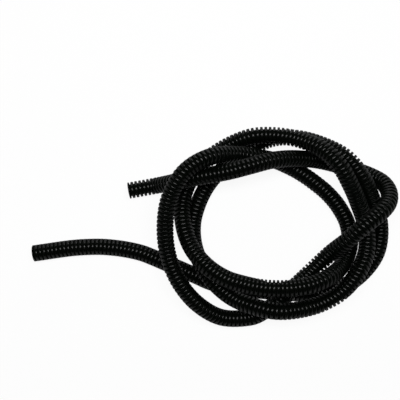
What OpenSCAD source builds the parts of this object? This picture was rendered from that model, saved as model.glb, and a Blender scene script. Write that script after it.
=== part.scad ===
// A length of corrugated vacuum hose, cut plain at both ends and thrown
// down in a loose coil. Millimetres, +Z up, standing on z = 0.

/* [Hose] */
// Clear bore of the hose
bore_d = 19; // [14:0.5:20]
// Thickness of the blown wall
wall = 0.7; // [0.5:0.05:1]
// Height of a rib over the wall between the ribs
rib_h = 3.8; // [2:0.1:4]
// Ribs carried by the long swept hose
swept_ribs = 180; // [90:1:192]

/* [Cut ends] */
// Whole ribs on each cut end, at the hose's true spacing
end_ribs = 4; // [2:1:6]
// Spacing of the ribs along a cut end
rib_pitch = 6.8; // [5.6:0.1:7.6]
// Width of a rib over its flanks
rib_w = 3.9; // [3:0.1:4.6]
// Rounding of a rib's crown
crown_r = 1.2; // [1:0.05:1.4]
// Depth of the flat that a cut end rests on
foot = 0.5; // [0.1:0.05:0.5]

/* [Junctions] */
// Length of hose from the short end's cut to where it meets the coil
short_reach = 90; // [70:1:115]

/* [Hidden] */

bore_r = bore_d / 2;
root_r = bore_r + wall;
crest_r = root_r + rib_h;
hose_od = 2 * crest_r;

// The swept hose sinks a tenth of its diameter into the ground plane and is
// cut flat there, and a cut end rests on its shallower foot.
rest_z = 0.4 * hose_od;
end_rest_z = crest_r - foot;

sides = 8;
round_fn = 96;
spans = 10;
probe = 2;

// Both ends lie straight on the ground at their tips, and the hose is
// straight again where it leaves the coil. Each list gives the distances of
// the route's points along a straight stretch.
tip_steps = [0, 9, 17, 25, 33, 37];
short_heading = 10.2;
short_tip = [-142, 63, end_rest_z];
long_heading = 8.4;
long_tip = [-304, -44, end_rest_z];
exit_heading = -23.2;
exit_mid = [-52, -72, rest_z];
exit_steps = [56, 28, 0, -28, -56];

// Heights in the lists below are lifts of the hose off the ground.
// The short end climbs into the coil in line with its tip: the distance from
// the tip and the lift at each point. Then it runs over the coil, curls back
// on itself and drops to it.
short_climb = [[46, 3.8], [56, 8.2], [67, 16], [80, 26.6], [94, 38], [110, 46.5], [128, 52]];
short_run = [
    [25, 93, 59], [60, 102, 61], [98, 112, 50], [137, 116, 30], [179, 114, 7],
    [216, 106, 0], [247, 97, 0], [269, 88, 6], [286, 76, 18], [292, 60, 33],
    [286, 42, 50], [268, 25, 63], [242, 5, 66], [218, -19, 54], [194, -42, 34],
    [165, -71, 26], [138, -95, 31], [122, -111, 31], [106, -125, 25], [90, -138, 17]
];

// Three loops, clockwise from above, from the bottom of the coil: the
// distance from the middle of the coil and the lift, at every step round it.
coil_mid = [105, 5];
coil_start = -105;
coil_step = 15;
loops = [
    [162, 11], [180, 13], [185, 26], [186, 34], [185, 40], [183, 50],
    [181, 62], [174, 71], [157, 65], [135, 42], [117, 28], [109, 10],
    [102, 2], [99, 0], [100, 0], [106, 0], [115, 0], [126, 0],
    [133, 5], [131, 21], [118, 53], [109, 63], [103, 64], [101, 63],

    [103, 61], [109, 58], [120, 56], [132, 52], [144.5, 40], [153.5, 27],
    [160.5, 14], [161.5, 2], [158.5, 7], [155, 16], [153, 27], [149, 30],
    [147, 35], [145, 48], [140, 57], [137, 50], [141, 34], [151, 21],
    [157, 27], [155, 39], [153, 40], [148, 41], [142, 48], [139, 53],

    [137.5, 46], [140, 35], [140, 30], [140, 22], [140, 7], [138, 0],
    [134, 0], [131.5, 0], [129.5, 0], [129, 0], [137, 0], [147, 0],
    [153, 1], [156, 19], [161, 34], [163.5, 34], [169, 18], [181, 1],
    [182, 0], [171, 0], [155, 0], [136, 0], [121, 0], [115, 0],

    [116, 0]
];

// The long end crosses under the coil and lies away from it.
exit_run = [[44, -105, 0]];
long_run = [[-124, -42.5, 0], [-154, -36.3, 0], [-186, -33, 1], [-216, -33.2, 2], [-242, -35.2, 2]];

// Points on a level line through p, at each of the given distances.
function level_points(p, heading, distances) =
    [for (d = distances) p + d * [cos(heading), sin(heading), 0]];

function lifted(points) = [for (p = points) [p[0], p[1], p[2] + rest_z]];

loop_points = [for (i = [0:len(loops) - 1])
    let (a = coil_start - coil_step * i)
    [coil_mid[0] + loops[i][0] * cos(a), coil_mid[1] + loops[i][0] * sin(a), loops[i][1] + rest_z]];

climb_points = [for (c = short_climb)
    [short_tip[0] + c[0] * cos(short_heading), short_tip[1] + c[0] * sin(short_heading), c[1]]];

coil_route = concat(
    level_points(short_tip, short_heading, tip_steps),
    lifted(climb_points),
    lifted(short_run),
    loop_points,
    lifted(exit_run)
);
route = concat(
    coil_route,
    level_points(exit_mid, exit_heading, exit_steps),
    lifted(long_run),
    level_points(long_tip, long_heading, [for (i = [len(tip_steps) - 1:-1:0]) tip_steps[i]])
);

// A smooth curve through the route, with its running length.
last = len(route) - 1;
function route_at(i) =
    i < 0 ? 2 * route[0] - route[1] : i > last ? 2 * route[last] - route[last - 1] : route[i];
function blend(a, b, c, d, t) =
    (2 * b + (c - a) * t + (2 * a - 5 * b + 4 * c - d) * t * t + (3 * b - a - 3 * c + d) * t * t * t) / 2;
line = concat(
    [for (i = [0:last - 1]) for (k = [0:spans - 1])
        blend(route_at(i - 1), route[i], route[i + 1], route_at(i + 2), k / spans)],
    [route[last]]);
function step_to(i) = i < len(line) ? norm(line[i] - line[i - 1]) : 0;
run = [for (i = 0, s = 0; i < len(line); i = i + 1, s = s + step_to(i)) s];
hose_length = run[len(run) - 1];
line_x = [for (i = [0:len(line) - 1]) [run[i], line[i][0]]];
line_y = [for (i = [0:len(line) - 1]) [run[i], line[i][1]]];
line_z = [for (i = [0:len(line) - 1]) [run[i], line[i][2]]];
function centre(s) = [lookup(s, line_x), lookup(s, line_y), lookup(s, line_z)];
function heading_at(s) = let (d = centre(s + probe) - centre(s - probe)) d / norm(d);
echo(hose_length = round(hose_length));

// The least gap between two lengths of the hose that lie side by side or
// cross, from points along its middle line to the straights between others.
gap_step = 8;
gap_skip = ceil(3 * hose_od / gap_step);
gap_points = [for (s = [0:gap_step:hose_length]) centre(s)];
function to_straight(p, a, b) =
    let (t = min(1, max(0, (p - a) * (b - a) / ((b - a) * (b - a))))) norm(p - a - t * (b - a));
least_gap = min([for (i = [0:len(gap_points) - gap_skip - 2])
    min([for (j = [i + gap_skip:len(gap_points) - 2])
        to_straight(gap_points[i], gap_points[j], gap_points[j + 1])])]) - hose_od;
echo(least_gap = least_gap);

// Where the hose divides. The cut ends carry whole ribs at their true
// spacing, and the free stretches meet the coil on straight lengths.
end_len = (end_ribs + 0.5) * rib_pitch;
coil_end = run[spans * (len(coil_route) + 2)];
swept_start = end_len;
swept_end = hose_length - end_len;
swept_pitch = (swept_end - swept_start) / swept_ribs;

// One ring of the hose: corners round the middle line at distance s, held
// at the ground where the hose sinks into it.
function ring(s, r) =
    let (c = centre(s), t = heading_at(s), side = cross([0, 0, 1], t), w = side / norm(side), u = cross(t, w))
    [for (k = [0:sides - 1])
        let (a = 360 * (k + 0.5) / sides, p = c + r * (cos(a) * w + sin(a) * u))
        [p[0], p[1], max(0, p[2])]];

// A band of triangles between ring i and ring j of a list of rings.
function band(i, j) = [for (k = [0:sides - 1])
    let (n = (k + 1) % sides, a = i * sides + k, b = i * sides + n, c = j * sides + k, d = j * sides + n)
    each [[a, c, b], [b, c, d]]];

// A length of ribbed hose from s0 to s1: ribs outside, a plain bore inside.
module swept(s0, s1) {
    ribs = max(1, round((s1 - s0) / swept_pitch));
    pitch = (s1 - s0) / ribs;
    outer = [for (i = [0:2 * ribs]) ring(s0 + i * pitch / 2, i % 2 == 0 ? root_r : crest_r)];
    inner = [for (i = [ribs:-1:0]) ring(s0 + i * pitch, bore_r)];
    rings = concat(outer, inner);
    count = len(rings);
    polyhedron(
        points = [for (r = rings) each r],
        faces = [for (i = [0:count - 1]) each band(i, (i + 1) % count)]);
}

// The outline of a rib on its flanks and crown, from one land to the next,
// as points along and off the hose's axis.
function rib(middle, width, foot_r, top_r, round_r) = concat(
    [[middle - width / 2, foot_r]],
    [for (a = [180:-30:90]) [middle - width / 2 + round_r * (1 + cos(a)), top_r - round_r * (1 - sin(a))]],
    [for (a = [90:-30:0]) [middle + width / 2 - round_r * (1 - cos(a)), top_r - round_r * (1 - sin(a))]],
    [[middle + width / 2, foot_r]]);

// The half rib that the cut leaves as a rim.
function rim(width, foot_r, top_r, round_r) =
    [for (p = concat([[0, top_r]], rib(0, width, foot_r, top_r, round_r))) if (p[0] >= 0) p];

// A cut end with its mouth at the origin, running along +Z. Its thin wall
// follows each rib, so the ribs are hollow and the lands make the bore.
module cut_end() {
    outside = concat(
        rim(rib_w, root_r, crest_r, crown_r),
        [for (i = [1:end_ribs]) each rib(i * rib_pitch, rib_w, root_r, crest_r, crown_r)],
        [[end_len, root_r]]);
    inside = concat(
        rim(rib_w - 2 * wall, bore_r, crest_r - wall, crown_r - wall),
        [for (i = [1:end_ribs])
            each rib(i * rib_pitch, rib_w - 2 * wall, bore_r, crest_r - wall, crown_r - wall)],
        [[end_len, bore_r]]);
    outline = concat(outside, [for (i = [len(inside) - 1:-1:0]) inside[i]]);
    rotate_extrude($fn = round_fn) polygon([for (p = outline) [p[1], p[0]]]);
}

// A cut end laid level with its mouth at p, running back along a heading,
// with a flat foot where it rests.
module laid_end(p, heading) {
    difference() {
        translate(p) rotate([0, 90, heading]) cut_end();
        translate([p[0], p[1], -hose_od / 2]) cube([4 * end_len, 4 * end_len, hose_od], center = true);
    }
}

module cut_end_short() {
    color([0.03, 0.03, 0.035]) laid_end(short_tip, short_heading);
}

module free_stretch_short() {
    color([0.04, 0.04, 0.045]) swept(swept_start, short_reach);
}

module coil() {
    color([0.05, 0.05, 0.055]) swept(short_reach, coil_end);
}

module free_stretch_long() {
    color([0.04, 0.04, 0.045]) swept(coil_end, swept_end);
}

module cut_end_long() {
    color([0.03, 0.03, 0.035]) laid_end(long_tip, long_heading);
}

cut_end_short();
free_stretch_short();
coil();
free_stretch_long();
cut_end_long();
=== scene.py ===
"""A corrugated vacuum hose, cut plain at both ends and thrown down in a loose coil.

The hose is one tube of blown black plastic, swept along the line on which the
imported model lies. The scene adds its true rib spacing, its hollow wall at both
mouths, the mould seams that bridge its grooves, and its worn gloss.
"""
from __future__ import annotations

import logging
import math
from bisect import bisect_right
from dataclasses import dataclass
from enum import Enum
from typing import Iterable, Sequence

import bmesh
import bpy
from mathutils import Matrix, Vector

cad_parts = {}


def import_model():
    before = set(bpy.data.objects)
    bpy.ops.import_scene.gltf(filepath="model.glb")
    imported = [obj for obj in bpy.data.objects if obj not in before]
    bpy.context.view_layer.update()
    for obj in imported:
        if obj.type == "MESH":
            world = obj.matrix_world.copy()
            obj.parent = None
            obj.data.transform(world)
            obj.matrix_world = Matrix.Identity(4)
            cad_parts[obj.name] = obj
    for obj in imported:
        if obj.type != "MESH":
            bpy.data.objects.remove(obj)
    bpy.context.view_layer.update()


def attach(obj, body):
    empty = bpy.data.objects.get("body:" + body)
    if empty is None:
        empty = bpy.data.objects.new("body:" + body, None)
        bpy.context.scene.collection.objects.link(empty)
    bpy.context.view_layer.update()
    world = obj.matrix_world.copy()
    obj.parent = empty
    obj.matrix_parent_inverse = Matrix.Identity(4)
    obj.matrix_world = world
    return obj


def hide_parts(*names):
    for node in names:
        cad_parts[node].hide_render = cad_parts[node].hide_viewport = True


LOG = logging.getLogger("hose")
MM = 0.001
FULL_TURN = 2 * math.pi
WHITE = (1.0, 1.0, 1.0)

Colour = tuple[float, float, float]
Pair = tuple[float, float]
Triple = tuple[float, float, float]


def eased(share: float) -> float:
    """Return a share from 0 to 1 with its two ends made gentle."""
    return share * share * (3 - 2 * share)


class Node(Enum):
    """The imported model's nodes, in order along the hose."""

    CUT_END_SHORT = "cut_end_short"
    FREE_STRETCH_SHORT = "free_stretch_short"
    COIL = "coil"
    FREE_STRETCH_LONG = "free_stretch_long"
    CUT_END_LONG = "cut_end_long"


# ---------------------------------------------------------------- materials


class Signal:
    """A shader socket that takes part in Python arithmetic.

    Args:
        shader: The material that the socket belongs to.
        socket: The output socket that carries the value.
    """

    def __init__(self, shader: "Shader", socket: bpy.types.NodeSocket) -> None:
        """Keep the socket and its material."""
        self.shader = shader
        self.socket = socket

    def _math(self, operation: str, *values: "Signal | float") -> "Signal":
        """Add one Math node.

        Args:
            operation: The Math node's operation.
            values: Its inputs, in order.

        Returns:
            The node's output.
        """
        node = self.shader.node("ShaderNodeMath", {"operation": operation}, dict(enumerate(values)))
        return Signal(self.shader, node.outputs[0])

    def __add__(self, other: "Signal | float") -> "Signal":
        """Return the sum."""
        return self._math("ADD", self, other)

    __radd__ = __add__

    def __sub__(self, other: "Signal | float") -> "Signal":
        """Return the difference."""
        return self._math("SUBTRACT", self, other)

    def __rsub__(self, other: float) -> "Signal":
        """Return the difference from a number."""
        return self._math("SUBTRACT", other, self)

    def __mul__(self, other: "Signal | float") -> "Signal":
        """Return the product."""
        return self._math("MULTIPLY", self, other)

    __rmul__ = __mul__

    def clamped(self) -> "Signal":
        """Return the value held between 0 and 1."""
        return self._math("MINIMUM", self._math("MAXIMUM", self, 0.0), 1.0)

    def larger(self, other: "Signal | float") -> "Signal":
        """Return the larger of two values."""
        return self._math("MAXIMUM", self, other)

    def window(self, band: Pair) -> "Signal":
        """Return a smooth step, from 0 at a band's start to 1 at its end.

        Args:
            band: The values at which the step starts and ends.

        Returns:
            The step.
        """
        node = self.shader.node(
            "ShaderNodeMapRange",
            {"interpolation_type": "SMOOTHSTEP"},
            {"Value": self, "From Min": band[0], "From Max": band[1]},
        )
        return Signal(self.shader, node.outputs["Result"])


class Shader:
    """A node material under construction.

    Args:
        name: The material's name.
    """

    def __init__(self, name: str) -> None:
        """Start an empty node tree."""
        self.material = bpy.data.materials.new(name)
        self.material.use_nodes = True
        self.tree = self.material.node_tree
        self.tree.nodes.clear()
        self.output = self.node("ShaderNodeOutputMaterial")

    def node(
        self,
        kind: str,
        settings: dict[str, object] | None = None,
        inputs: dict[str | int, object] | None = None,
    ) -> bpy.types.Node:
        """Add a node, set it up and feed its inputs.

        Args:
            kind: The node's type name.
            settings: Its own settings, such as a Math node's operation.
            inputs: Values or signals for its inputs, by name or index.

        Returns:
            The node.
        """
        node = self.tree.nodes.new(kind)
        for key, value in (settings or {}).items():
            setattr(node, key, value)
        for key, value in (inputs or {}).items():
            if isinstance(value, Signal):
                self.tree.links.new(value.socket, node.inputs[key])
            else:
                node.inputs[key].default_value = value
        return node

    def signal(self, node: bpy.types.Node, output: str | int = 0) -> Signal:
        """Return one of a node's outputs as a signal."""
        return Signal(self, node.outputs[output])

    def attribute(self, name: str) -> Signal:
        """Return a number that the mesh carries at each point."""
        return self.signal(self.node("ShaderNodeAttribute", {"attribute_name": name}), "Fac")

    def place(self) -> Signal:
        """Return Object coordinates."""
        return self.signal(self.node("ShaderNodeTexCoord"), "Object")

    def lay(self, scale: Triple) -> Signal:
        """Return the hose's own map: metres along it, and turns round it, each scaled.

        Args:
            scale: The scale along and round the hose.

        Returns:
            The vector.
        """
        source = self.signal(self.node("ShaderNodeUVMap", {"uv_map": "lay"}))
        return self.signal(self.node("ShaderNodeMapping", None, {"Vector": source, "Scale": scale}))

    def grazing(self) -> Signal:
        """Return how nearly edge-on the surface is seen, from 0 to 1."""
        return self.signal(self.node("ShaderNodeLayerWeight", None, {"Blend": 0.5}), "Facing")

    def noise(self, where: Signal, scale: float, detail: float, roughness: float) -> Signal:
        """Return a cloudy noise.

        Args:
            where: The coordinates that it follows.
            scale: Its scale.
            detail: How many finer layers it holds.
            roughness: How strong the finer layers are.

        Returns:
            The noise, about 0.5 in the mean.
        """
        node = self.node(
            "ShaderNodeTexNoise",
            None,
            {"Vector": where, "Scale": scale, "Detail": detail, "Roughness": roughness},
        )
        return self.signal(node, "Fac")

    def mix(self, share: Signal, first: Colour | Signal, second: Colour | Signal) -> Signal:
        """Return a colour between two.

        Args:
            share: How much of the second colour there is.
            first: The first colour.
            second: The second colour.

        Returns:
            The colour.
        """
        low, high = (tone if isinstance(tone, Signal) else (*tone, 1.0) for tone in (first, second))
        node = self.node("ShaderNodeMix", {"data_type": "RGBA"}, {0: share, 6: low, 7: high})
        return self.signal(node, 2)

    def bump(self, height: Signal, depth: float, strength: float) -> Signal:
        """Return a normal that follows a height.

        Args:
            height: The height, from 0 to 1.
            depth: The real height of 1, in metres.
            strength: How much of it shows.

        Returns:
            The normal.
        """
        inputs = {"Height": height, "Distance": depth, "Strength": strength}
        return self.signal(self.node("ShaderNodeBump", None, inputs))

    def blend(self, share: Signal, first: bpy.types.Node, second: bpy.types.Node) -> bpy.types.Material:
        """Make the material's surface a blend of two shader nodes.

        Args:
            share: How much of the second shader there is.
            first: The first shader.
            second: The second shader.

        Returns:
            The finished material.
        """
        inputs = {0: share, 1: self.signal(first), 2: self.signal(second)}
        mixed = self.node("ShaderNodeMixShader", None, inputs)
        self.tree.links.new(mixed.outputs[0], self.output.inputs["Surface"])
        return self.material


@dataclass(frozen=True)
class Grain:
    """A noise's scale and make-up."""

    scale: float
    detail: float
    roughness: float

    def over(self, shader: Shader, where: Signal) -> Signal:
        """Return the noise over the given coordinates."""
        return shader.noise(where, self.scale, self.detail, self.roughness)


@dataclass(frozen=True)
class BlownPlastic:
    """Glossy black blown polyethylene, handled and a little dusty.

    The mesh says how far up a rib each point lies, from 0 in a groove to 1 on a
    crown. The crowns keep the gloss of the mould, with rub marks along them. The
    grooves are dull and hold the dust, and they also reflect far less light than
    the crowns: a painted shade that stands in for the shade deep in the grooves.
    Each band is a pair of values between which something sets in.
    """

    black: Colour = (0.0005, 0.0011, 0.0005)
    worn: Colour = (0.005, 0.0056, 0.005)
    dust: Colour = (0.007, 0.0072, 0.0065)
    refraction: float = 1.5

    gloss: float = 0.22
    gloss_spread: float = 0.08
    specular: float = 0.13
    # The grooves' roughness is their dull finish; their low specular level is painted shade, darkening the
    # grooves where shade falls between the ribs.
    groove_roughness: float = 0.7
    groove_shade_specular: float = 0.03
    crown_band: Pair = (0.3, 0.9)
    edge_matt: float = 0.35
    edge_band: Pair = (0.2, 0.7)

    streaks: Grain = Grain(4.0, 4.0, 0.6)
    streak_stretch: Triple = (60.0, 6.0, 1.0)
    streak_band: Pair = (0.52, 0.78)
    rub_band: Pair = (0.75, 1.0)
    rub_tint: float = 0.6
    rub_matt: float = 0.14

    clouds: Grain = Grain(38.0, 3.0, 0.5)
    cloud_middle: float = 0.5
    cloud_band: Pair = (0.45, 0.8)
    dust_band: Pair = (0.35, 1.0)
    dust_most: float = 0.5
    dust_tint: float = 0.4
    dust_matt: float = 0.42

    grain: Grain = Grain(1500.0, 3.0, 0.65)
    grain_depth: float = 0.008 * MM
    streak_bump: float = 0.7
    bump_strength: float = 0.5

    def make(self, name: str) -> bpy.types.Material:
        """Build the material.

        Args:
            name: The material's name.

        Returns:
            The material.
        """
        shader = Shader(name)
        crown = shader.attribute("crown")
        streaks = self.streaks.over(shader, shader.lay(self.streak_stretch))
        clouds = self.clouds.over(shader, shader.place())
        grain = self.grain.over(shader, shader.place())
        rub = (crown.window(self.rub_band) * streaks.window(self.streak_band)).clamped()
        settled = (1.0 - crown).window(self.dust_band) * clouds.window(self.cloud_band)
        settled = (settled * self.dust_most).clamped()
        base = shader.mix(rub * self.rub_tint, self.black, self.worn)
        base = shader.mix(settled * self.dust_tint, base, self.dust)
        roughness = self.gloss + rub * self.rub_matt + settled * (self.dust_matt - self.gloss)
        roughness = roughness + (clouds - self.cloud_middle) * self.gloss_spread
        roughness = roughness + shader.grazing().window(self.edge_band) * self.edge_matt
        normal = shader.bump(grain + streaks * self.streak_bump, self.grain_depth, self.bump_strength)
        body = self._plastic(shader, base, roughness, self.specular, {"Normal": normal})
        # The groove shader is dull and reflects little light: a painted shade that darkens the grooves
        # between the ribs, where shade falls.
        groove = self._plastic(shader, base, self.groove_roughness, self.groove_shade_specular, {})
        return shader.blend(crown.window(self.crown_band), groove, body)

    def _plastic(
        self,
        shader: Shader,
        base: Signal,
        roughness: Signal | float,
        specular: float,
        extra: dict[str, Signal],
    ) -> bpy.types.Node:
        """Return the plastic's shader at one level of gloss.

        Args:
            shader: The material.
            base: The plastic's colour.
            roughness: Its roughness.
            specular: How strongly it reflects.
            extra: What its other inputs take.

        Returns:
            The shader node.
        """
        inputs = {
            "Base Color": base,
            "Roughness": roughness,
            "Specular IOR Level": specular,
            "IOR": self.refraction,
            **extra,
        }
        return shader.node("ShaderNodeBsdfPrincipled", None, inputs)


@dataclass(frozen=True)
class PaleGround:
    """The pale floor and backdrop: they show white, and keep a trace of the hose's shadow."""

    colour: Colour = (0.93, 0.93, 0.93)
    shown: float = 0.92

    def make(self, name: str) -> bpy.types.Material:
        """Build the material.

        Args:
            name: The material's name.

        Returns:
            The material.
        """
        shader = Shader(name)
        path = shader.node("ShaderNodeLightPath")
        seen = shader.signal(path, "Is Camera Ray").larger(shader.signal(path, "Is Glossy Ray"))
        seen = seen.larger(shader.signal(path, "Is Transmission Ray")) * self.shown
        lit = shader.node("ShaderNodeBsdfDiffuse", None, {"Color": (*self.colour, 1.0)})
        white = shader.node("ShaderNodeEmission", None, {"Color": (*WHITE, 1.0), "Strength": 1.0})
        return shader.blend(seen, lit, white)


# --------------------------------------------------------------- the hose's line


@dataclass
class HoseLine:
    """The middle line of the hose, from the short end's cut to the long end's.

    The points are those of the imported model, in metres. Where the hose lies in
    the coil they are given round the coil's middle, as a distance from it and a
    lift off the ground; elsewhere each is a place and a lift. The laid hose
    sinks into the ground until its middle is at a share of its radius, and its
    ends rest on a shallower foot.
    """

    outer_radius: float
    rest_share: float = 0.8
    foot: float = 0.0005
    steps: int = 24
    probe: float = 2 * MM
    tip_steps: tuple[float, ...] = (0.0, 0.009, 0.017, 0.025, 0.033, 0.037)
    short_tip: Pair = (-0.142, 0.063)
    short_heading: float = 10.2
    long_tip: Pair = (-0.304, -0.044)
    long_heading: float = 8.4
    exit_mid: Pair = (-0.052, -0.072)
    exit_heading: float = -23.2
    exit_steps: tuple[float, ...] = (0.056, 0.028, 0.0, -0.028, -0.056)
    coil_mid: Pair = (0.105, 0.005)
    coil_start: float = -105.0
    coil_step: float = 15.0
    short_climb: tuple[Pair, ...] = (
        (0.046, 0.0038), (0.056, 0.0082), (0.067, 0.016), (0.080, 0.0266), (0.094, 0.038),
        (0.110, 0.0465), (0.128, 0.052),
    )
    short_run: tuple[Triple, ...] = (
        (0.025, 0.093, 0.059), (0.060, 0.102, 0.061), (0.098, 0.112, 0.050), (0.137, 0.116, 0.030),
        (0.179, 0.114, 0.007), (0.216, 0.106, 0.000), (0.247, 0.097, 0.000), (0.269, 0.088, 0.006),
        (0.286, 0.076, 0.018), (0.292, 0.060, 0.033), (0.286, 0.042, 0.050), (0.268, 0.025, 0.063),
        (0.242, 0.005, 0.066), (0.218, -0.019, 0.054), (0.194, -0.042, 0.034), (0.165, -0.071, 0.026),
        (0.138, -0.095, 0.031), (0.122, -0.111, 0.031), (0.106, -0.125, 0.025), (0.090, -0.138, 0.017),
    )
    loops: tuple[Pair, ...] = (
        (0.162, 0.011), (0.180, 0.013), (0.185, 0.026), (0.186, 0.034), (0.185, 0.040), (0.183, 0.050),
        (0.181, 0.062), (0.174, 0.071), (0.157, 0.065), (0.135, 0.042), (0.117, 0.028), (0.109, 0.010),
        (0.102, 0.002), (0.099, 0.000), (0.100, 0.000), (0.106, 0.000), (0.115, 0.000), (0.126, 0.000),
        (0.133, 0.005), (0.131, 0.021), (0.118, 0.053), (0.109, 0.063), (0.103, 0.064), (0.101, 0.063),
        (0.103, 0.061), (0.109, 0.058), (0.120, 0.056), (0.132, 0.052), (0.1445, 0.040), (0.1535, 0.027),
        (0.1605, 0.014), (0.1615, 0.002), (0.1585, 0.007), (0.155, 0.016), (0.153, 0.027), (0.149, 0.030),
        (0.147, 0.035), (0.145, 0.048), (0.140, 0.057), (0.137, 0.050), (0.141, 0.034), (0.151, 0.021),
        (0.157, 0.027), (0.155, 0.039), (0.153, 0.040), (0.148, 0.041), (0.142, 0.048), (0.139, 0.053),
        (0.1375, 0.046), (0.140, 0.035), (0.140, 0.030), (0.140, 0.022), (0.140, 0.007), (0.138, 0.000),
        (0.134, 0.000), (0.1315, 0.000), (0.1295, 0.000), (0.129, 0.000), (0.137, 0.000), (0.147, 0.000),
        (0.153, 0.001), (0.156, 0.019), (0.161, 0.034), (0.1635, 0.034), (0.169, 0.018), (0.181, 0.001),
        (0.182, 0.000), (0.171, 0.000), (0.155, 0.000), (0.136, 0.000), (0.121, 0.000), (0.115, 0.000),
        (0.116, 0.000),
    )
    exit_run: tuple[Triple, ...] = ((0.044, -0.105, 0.000),)
    long_run: tuple[Triple, ...] = (
        (-0.124, -0.0425, 0.000), (-0.154, -0.0363, 0.000), (-0.186, -0.033, 0.001),
        (-0.216, -0.0332, 0.002), (-0.242, -0.0352, 0.002),
    )

    def __post_init__(self) -> None:
        """Work out the smooth line and its running length."""
        self.rest = self.rest_share * self.outer_radius
        route = self._route()
        ends = [2 * route[0] - route[1], *route, 2 * route[-1] - route[-2]]
        self.points = [
            self._blend(ends[i : i + 4], step / self.steps)
            for i in range(len(route) - 1)
            for step in range(self.steps)
        ]
        self.points.append(route[-1])
        self.run = [0.0]
        for before, after in zip(self.points, self.points[1:]):
            self.run.append(self.run[-1] + (after - before).length)

    @property
    def length(self) -> float:
        """Return the hose's length."""
        return self.run[-1]

    def _route(self) -> list[Vector]:
        """Return the points that the line goes through."""
        tip_height = self.outer_radius - self.foot
        turn = math.radians(self.short_heading)
        climb = [
            (self.short_tip[0] + reach * math.cos(turn), self.short_tip[1] + reach * math.sin(turn), lift)
            for reach, lift in self.short_climb
        ]
        return [
            *self._level((*self.short_tip, tip_height), self.short_heading, self.tip_steps),
            *self._lifted(climb),
            *self._lifted(self.short_run),
            *self._turns(),
            *self._lifted(self.exit_run),
            *self._level((*self.exit_mid, self.rest), self.exit_heading, self.exit_steps),
            *self._lifted(self.long_run),
            *self._level((*self.long_tip, tip_height), self.long_heading, self.tip_steps[::-1]),
        ]

    @staticmethod
    def _level(start: Triple, heading: float, distances: Iterable[float]) -> list[Vector]:
        """Return points on a level straight line.

        Args:
            start: A point on the line.
            heading: Its direction on the ground, in degrees from +X.
            distances: How far along it each point lies.

        Returns:
            The points.
        """
        turn = math.radians(heading)
        way = Vector((math.cos(turn), math.sin(turn), 0.0))
        return [Vector(start) + way * distance for distance in distances]

    def _lifted(self, points: Iterable[Triple]) -> list[Vector]:
        """Return points whose heights are lifts off the ground."""
        return [Vector((x, y, self.rest + lift)) for x, y, lift in points]

    def _turns(self) -> list[Vector]:
        """Return the coil's points, clockwise from above."""
        turns = []
        for index, (reach, lift) in enumerate(self.loops):
            angle = math.radians(self.coil_start - self.coil_step * index)
            x = self.coil_mid[0] + reach * math.cos(angle)
            y = self.coil_mid[1] + reach * math.sin(angle)
            turns.append(Vector((x, y, self.rest + lift)))
        return turns

    @staticmethod
    def _blend(four: Sequence[Vector], t: float) -> Vector:
        """Return a point on the smooth curve through the middle two of four points.

        Args:
            four: The points.
            t: How far from the second to the third, from 0 to 1.

        Returns:
            The point.
        """
        a, b, c, d = four
        return (
            2 * b + (c - a) * t + (2 * a - 5 * b + 4 * c - d) * t**2 + (3 * b - a - 3 * c + d) * t**3
        ) / 2

    def at(self, distance: float) -> Vector:
        """Return the point at a distance along the hose."""
        distance = min(max(distance, 0.0), self.length)
        index = min(bisect_right(self.run, distance), len(self.run) - 1)
        low, high = self.run[index - 1], self.run[index]
        return self.points[index - 1].lerp(self.points[index], (distance - low) / (high - low))

    def axes(self, distance: float) -> tuple[Vector, Vector, Vector]:
        """Return the line's point and cross directions at a distance.

        Args:
            distance: How far along the hose.

        Returns:
            The point, the level direction across the hose, and the direction
            that stands up from it.
        """
        along = (self.at(distance + self.probe) - self.at(distance - self.probe)).normalized()
        across = Vector((0.0, 0.0, 1.0)).cross(along).normalized()
        return self.at(distance), across, along.cross(across)


# ------------------------------------------------------------------- the hose


@dataclass(frozen=True)
class Ring:
    """One ring of the hose's wall: where it is, how wide, and how far up a rib.

    How far up a rib it lies goes from 0 in a groove to 1 on a crown. A ring at
    the edge of a rib's crown leans along the hose, by -1 or 1.
    """

    along: float
    radius: float
    crown: float
    seamed: bool
    lean: int = 0


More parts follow.
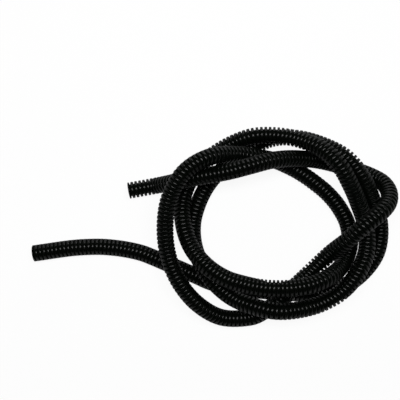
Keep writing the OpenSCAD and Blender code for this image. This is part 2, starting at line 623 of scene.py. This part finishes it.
@dataclass
class RibbedHose:
    """The hose: one blown tube with hollow ribs, open at both ends.

    Two mould seams lie opposite each other and bridge the grooves nearly up to
    the crowns. They turn slowly about the hose, by the angles from the level
    in seam_turn, one for each distance along it in metres. Where they turn up
    past worn_turn they sink away, by worn_depth in all. The three shares say
    how far up a rib its shoulder, the rim of a cut and a seam count as, for the
    finish. All angles are in degrees.
    """

    bore_radius: float = 9.5 * MM
    wall: float = 0.7 * MM
    rib_height: float = 3.8 * MM
    rib_pitch: float = 6.8 * MM
    rib_width: float = 3.9 * MM
    flank_lean: float = 0.1 * MM
    crown_round: float = 0.4 * MM
    crown_lean: float = 18.0
    seam_half_angle: float = 3.4
    seam_foot_angle: float = 7.0
    seam_depth: float = 0.15 * MM
    worn_depth: float = 3.6 * MM
    worn_turn: Pair = (33.0, 44.0)
    shoulder_share: float = 0.7
    cut_share: float = 0.9
    seam_share: float = 0.8
    side_steps: int = 9
    open_ribs: int = 8
    bore_step: float = 17 * MM
    seam_turn: tuple[Pair, ...] = (
        (0.00, 48), (0.10, 46), (0.17, 14), (0.40, 4), (0.52, 2), (0.58, 30), (0.63, 48), (0.76, 46),
        (0.82, 18), (0.92, 14), (1.00, 30), (1.14, 32), (1.22, 12), (1.34, 10), (1.42, 26), (1.54, 24),
        (1.62, 8), (1.69, 6), (1.74, 46), (1.79, 12), (1.96, 4), (2.05, 46), (2.32, 50), (2.42, 10),
        (2.52, 6), (2.58, 46), (2.64, 40), (2.70, 8), (2.95, 6), (3.05, 46), (3.26, 50), (3.40, 30),
        (3.62, 12), (3.75, 4), (4.06, 2),
    )

    def __post_init__(self) -> None:
        """Work out the sizes that follow from the others."""
        self.root_radius = self.bore_radius + self.wall
        self.crest_radius = self.root_radius + self.rib_height
        self.line = HoseLine(self.crest_radius)
        self.ribs = round(self.line.length / self.rib_pitch)
        self.pitch = self.line.length / self.ribs

    def _angles(self) -> list[tuple[float, float]]:
        """Return each corner's angle round the hose, and how much of a seam it holds."""
        top, foot = self.seam_half_angle, self.seam_foot_angle
        corners = []
        for seam in (0.0, 180.0):
            corners += [(seam - foot, 0.0), (seam - top, 1.0), (seam + top, 1.0), (seam + foot, 0.0)]
            span = (180.0 - 2 * foot) / self.side_steps
            corners += [(seam + foot + span * step, 0.0) for step in range(1, self.side_steps)]
        return [(math.radians(angle), seam) for angle, seam in corners]

    def _rib(self, middle: float, width: float, foot: float, top: float, round_off: float) -> list[Ring]:
        """Return the rings of one rib.

        Args:
            middle: The rib's middle along the hose.
            width: Its width.
            foot: The radius at its foot.
            top: The radius at its crown.
            round_off: The rounding of its crown.

        Returns:
            The rings, in order along the hose.
        """
        half = width / 2
        lean, shoulder = self.flank_lean, self.shoulder_share
        shape = (
            (-half - lean, foot, 0.0, 0),
            (-half + lean, top - round_off, shoulder, 0),
            (-half + round_off, top, 1.0, -1),
            (half - round_off, top, 1.0, 1),
            (half - lean, top - round_off, shoulder, 0),
            (half + lean, foot, 0.0, 0),
        )
        seamed = foot > self.bore_radius
        return [Ring(middle + offset, radius, crown, seamed, side) for offset, radius, crown, side in shape]

    def _skin(self) -> list[Ring]:
        """Return the rings of the outer skin, from mouth to mouth."""
        rings: list[Ring] = []
        for index in range(self.ribs + 1):
            rings += self._rib(
                index * self.pitch, self.rib_width, self.root_radius, self.crest_radius, self.crown_round
            )
        return self._cut(rings, self.crest_radius, True)

    def _lining(self) -> list[Ring]:
        """Return the rings of the bore, from mouth to mouth, with its ribs open near them."""
        width = self.rib_width - 2 * self.wall
        top = self.crest_radius - self.wall
        rings: list[Ring] = []
        for index in (*range(self.open_ribs + 1), *range(self.ribs - self.open_ribs, self.ribs + 1)):
            if index == self.ribs - self.open_ribs:
                start, stop = rings[-1].along, (index - 1) * self.pitch
                steps = int((stop - start) / self.bore_step)
                rings += [
                    Ring(start + (stop - start) * step / steps, self.bore_radius, 0.0, False)
                    for step in range(1, steps)
                ]
            rings += self._rib(index * self.pitch, width, self.bore_radius, top, self.crown_round / 2)
        return self._cut(rings, top, False)

    def _cut(self, rings: list[Ring], mouth: float, seamed: bool) -> list[Ring]:
        """Return rings cut off square at both mouths, through the middle of a rib.

        Args:
            rings: The rings of the uncut wall.
            mouth: The radius at the cut.
            seamed: Whether the wall carries the mould seams.

        Returns:
            The rings between the cuts, and one at each.
        """
        length = self.line.length
        kept = [ring for ring in rings if 0.0 < ring.along < length]
        first, last = (Ring(along, mouth, self.cut_share, seamed) for along in (0.0, length))
        return [first, *kept, last]

    def _turned(self, along: float) -> float:
        """Return how far the seams are turned round the hose at a distance."""
        stations = self.seam_turn
        for (low, first), (high, second) in zip(stations, stations[1:]):
            if along <= high:
                return math.radians(first + (second - first) * eased((along - low) / (high - low)))
        return math.radians(stations[-1][1])

    def _left(self, turn: float) -> float:
        """Return how much of the seams' height is left where they are turned up by an angle."""
        low, high = self.worn_turn
        return eased(min(max((high - math.degrees(turn)) / (high - low), 0.0), 1.0))

    def _corner(
        self, ring: Ring, axes: tuple[Vector, Vector, Vector], angle: float, seam: float
    ) -> tuple[Vector, Vector]:
        """Return one corner of a ring, pressed flat where the hose rests on the ground.

        Args:
            ring: The ring.
            axes: The line's point and cross directions there.
            angle: The corner's angle round the hose.
            seam: How much of a mould seam it holds.

        Returns:
            The corner, and the direction that the edge of a crown faces there.
        """
        centre, across, up = axes
        radius = ring.radius
        if ring.seamed and seam:
            radius = max(radius, self.crest_radius - self.seam_depth - self.worn_depth * (1 - seam))
        facing = across * math.cos(angle) + up * math.sin(angle)
        corner = centre + facing * radius
        if corner.z < centre.z < self.crest_radius:
            press = centre.z / self.crest_radius
            corner.z = centre.z + (corner.z - centre.z) * press
            facing.z /= press
        facing += across.cross(up) * math.tan(math.radians(self.crown_lean * ring.lean))
        return corner, facing.normalized()

    def build(self) -> bpy.types.Object:
        """Build the hose's mesh.

        Returns:
            The hose.
        """
        rings = self._skin() + self._lining()[::-1]
        corners = self._angles()
        places: list[Vector] = []
        crowns: list[float] = []
        crown_facings: dict[int, Vector] = {}
        for ring in rings:
            axes = self.line.axes(ring.along)
            turn = self._turned(ring.along)
            left = self._left(turn)
            for angle, share in corners:
                seam = share * left
                place, facing = self._corner(ring, axes, angle + turn, seam)
                if ring.seamed and ring.lean:
                    crown_facings[len(places)] = facing
                places.append(place)
                crowns.append(max(ring.crown, self.seam_share * seam) if ring.seamed else ring.crown)
        faces = self._faces(len(rings), len(corners))
        mesh = bpy.data.meshes.new("hose")
        mesh.from_pydata(places, [], faces)
        mesh.polygons.foreach_set("use_smooth", [True] * len(faces))
        mesh.attributes.new("crown", "FLOAT", "POINT").data.foreach_set("value", crowns)
        self._map(mesh, [ring.along for ring in rings], [angle / FULL_TURN for angle, _ in corners])
        mesh.update()
        facings = [crown_facings.get(vertex.index, vertex.normal) for vertex in mesh.vertices]
        mesh.normals_split_custom_set_from_vertices(facings)
        hose = bpy.data.objects.new("hose", mesh)
        bpy.context.collection.objects.link(hose)
        return hose

    @staticmethod
    def _faces(rings: int, count: int) -> list[tuple[int, ...]]:
        """Return the faces between each ring and the next, and from the last to the first.

        Args:
            rings: How many rings there are.
            count: How many corners each has.

        Returns:
            The four corners of each face.
        """
        faces = []
        for near in range(rings):
            far = (near + 1) % rings
            for side in range(count):
                following = (side + 1) % count
                faces.append((
                    near * count + side,
                    near * count + following,
                    far * count + following,
                    far * count + side,
                ))
        return faces

    @staticmethod
    def _map(mesh: bpy.types.Mesh, along: Sequence[float], around: Sequence[float]) -> None:
        """Give the mesh its own map: metres along the hose, and turns round it.

        Args:
            mesh: The hose's mesh.
            along: Each ring's distance along the hose.
            around: Each corner's share of a turn.
        """
        count = len(around)
        layer = mesh.uv_layers.new(name="lay")
        values: list[float] = []
        for first in range(len(along)):
            second = (first + 1) % len(along)
            for side in range(count):
                near = around[side]
                far = around[(side + 1) % count] + (1.0 if side == count - 1 else 0.0)
                values += [along[first], near, along[first], far, along[second], far, along[second], near]
        layer.data.foreach_set("uv", values)

    def dress(self, hose: bpy.types.Object) -> None:
        """Finish the hose, hang it from the root and hide the imported parts.

        Args:
            hose: The hose.
        """
        hose.data.materials.append(BlownPlastic().make("hose_black"))
        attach(hose, "root")
        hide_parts(*(node.value for node in Node))
        path = [self.line.at(ring.along) for ring in self._skin()]


# ------------------------------------------------------------------ the studio


@dataclass
class Studio:
    """The camera, lamps and floor."""

    camera_at: Triple = (-0.021, 0.047, 1.121)
    view_angle: float = 34.21
    floor_reach: float = 6.0
    backdrop_height: float = 2.4
    backdrop_sides: int = 64
    world_level: float = 0.04
    lamps: tuple[tuple[str, Triple, Pair, float], ...] = (
        ("overhead", (0.03, 0.36, 1.68), (1.50, 0.42), 29.5),
        ("low_back", (0.05, 2.10, 0.50), (1.60, 0.36), 12.0),
    )
    aim: Triple = (0.05, 0.0, 0.03)

    def place_camera(self) -> None:
        """Put the camera straight above the hose."""
        data = bpy.data.cameras.new("camera")
        data.sensor_fit = "HORIZONTAL"
        data.angle = math.radians(self.view_angle)
        camera = bpy.data.objects.new("camera", data)
        camera.location = self.camera_at
        bpy.context.collection.objects.link(camera)
        bpy.context.scene.camera = camera

    def lay_floor(self) -> None:
        """Lay the round floor, and stand the backdrop on its edge."""
        shape = bmesh.new()
        bmesh.ops.create_circle(shape, cap_ends=True, segments=self.backdrop_sides, radius=self.floor_reach)
        edge = bmesh.ops.extrude_edge_only(shape, edges=shape.edges[:])
        raised = [part for part in edge["geom"] if isinstance(part, bmesh.types.BMVert)]
        bmesh.ops.translate(shape, verts=raised, vec=(0.0, 0.0, self.backdrop_height))
        mesh = bpy.data.meshes.new("floor")
        shape.to_mesh(mesh)
        shape.free()
        floor = bpy.data.objects.new("floor", mesh)
        bpy.context.collection.objects.link(floor)
        mesh.materials.append(PaleGround().make("pale_ground"))

    def hang_lamps(self) -> None:
        """Hang the soft lamps, each aimed at the hose."""
        for name, place, size, power in self.lamps:
            data = bpy.data.lights.new(name, "AREA")
            data.shape = "RECTANGLE"
            data.size, data.size_y = size
            data.energy = power
            lamp = bpy.data.objects.new(name, data)
            lamp.location = place
            way = Vector(self.aim) - Vector(place)
            lamp.rotation_euler = way.to_track_quat("-Z", "Y").to_euler()
            bpy.context.collection.objects.link(lamp)

    def light_world(self) -> None:
        """Light the world dimly and evenly."""
        world = bpy.data.worlds.new("studio")
        bpy.context.scene.world = world
        world.use_nodes = True
        light = world.node_tree.nodes["Background"]
        light.inputs["Color"].default_value = (*WHITE, 1.0)
        light.inputs["Strength"].default_value = self.world_level


def main() -> None:
    """Build the hose and its studio."""
    logging.basicConfig(level=logging.INFO, format="%(name)s: %(message)s")
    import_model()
    bpy.context.scene.view_settings.view_transform = "Standard"
    studio = Studio()
    studio.place_camera()
    maker = RibbedHose()
    hose = maker.build()
    maker.dress(hose)
    LOG.info("hose: %.3f m long, %d ribs, %d faces", maker.line.length, maker.ribs, len(hose.data.polygons))
    studio.lay_floor()
    studio.hang_lamps()
    studio.light_world()
    LOG.info("studio: %d lamps", len(studio.lamps))


if __name__ == "__main__":
    main()
